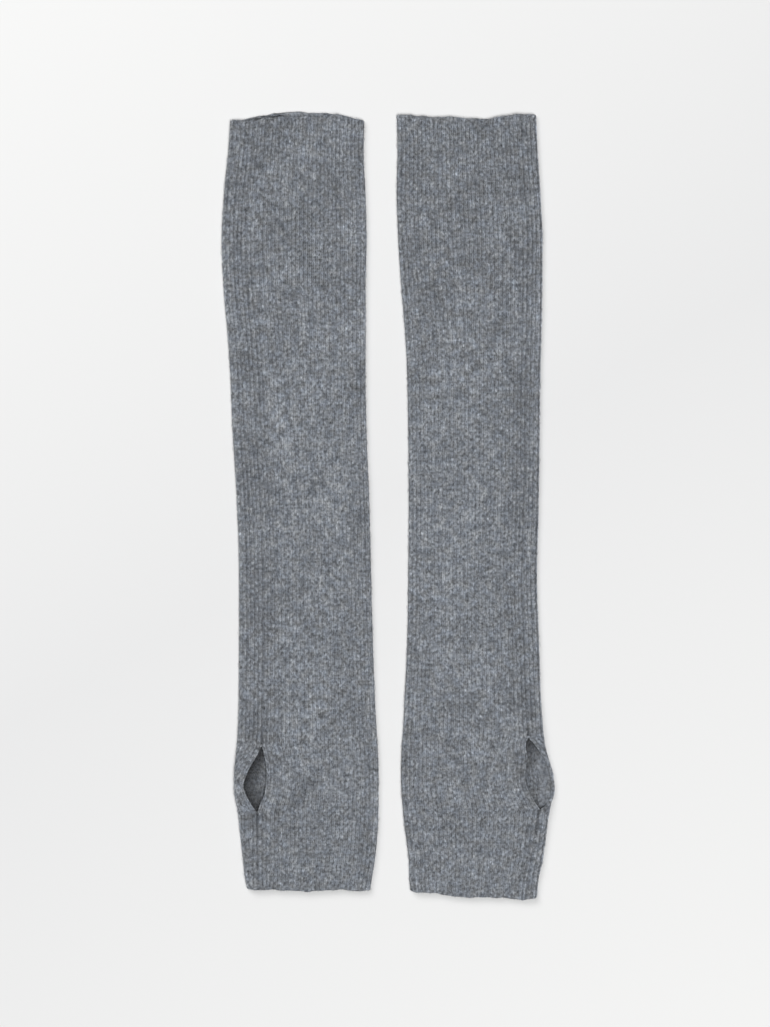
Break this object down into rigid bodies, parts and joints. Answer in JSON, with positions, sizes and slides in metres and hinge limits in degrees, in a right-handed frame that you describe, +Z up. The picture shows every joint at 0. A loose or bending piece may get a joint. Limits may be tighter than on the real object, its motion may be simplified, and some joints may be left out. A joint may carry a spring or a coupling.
{
  "type": "pair of knitted arm warmers",
  "caption": "Pair of long ribbed knit sleeves with open ends and a thumb slit in the side seam, laid flat side by side.",
  "frame": {"origin": "middle of the pair, on the surface it lies on", "axes": "+Z up from the surface, +Y along the warmers from the hand ends to the arm ends, +X across to the right warmer"},
  "size_m": [0.2046, 0.4848, 0.0088],
  "materials": {
    "left_knit": "heathered grey wool rib knit, soft and matt",
    "right_knit": "heathered grey wool rib knit, soft and matt"
  },
  "bodies": {
    "root": {"left_arm_warmer": "left_knit", "right_arm_warmer": "right_knit"}
  },
  "joints": []
}
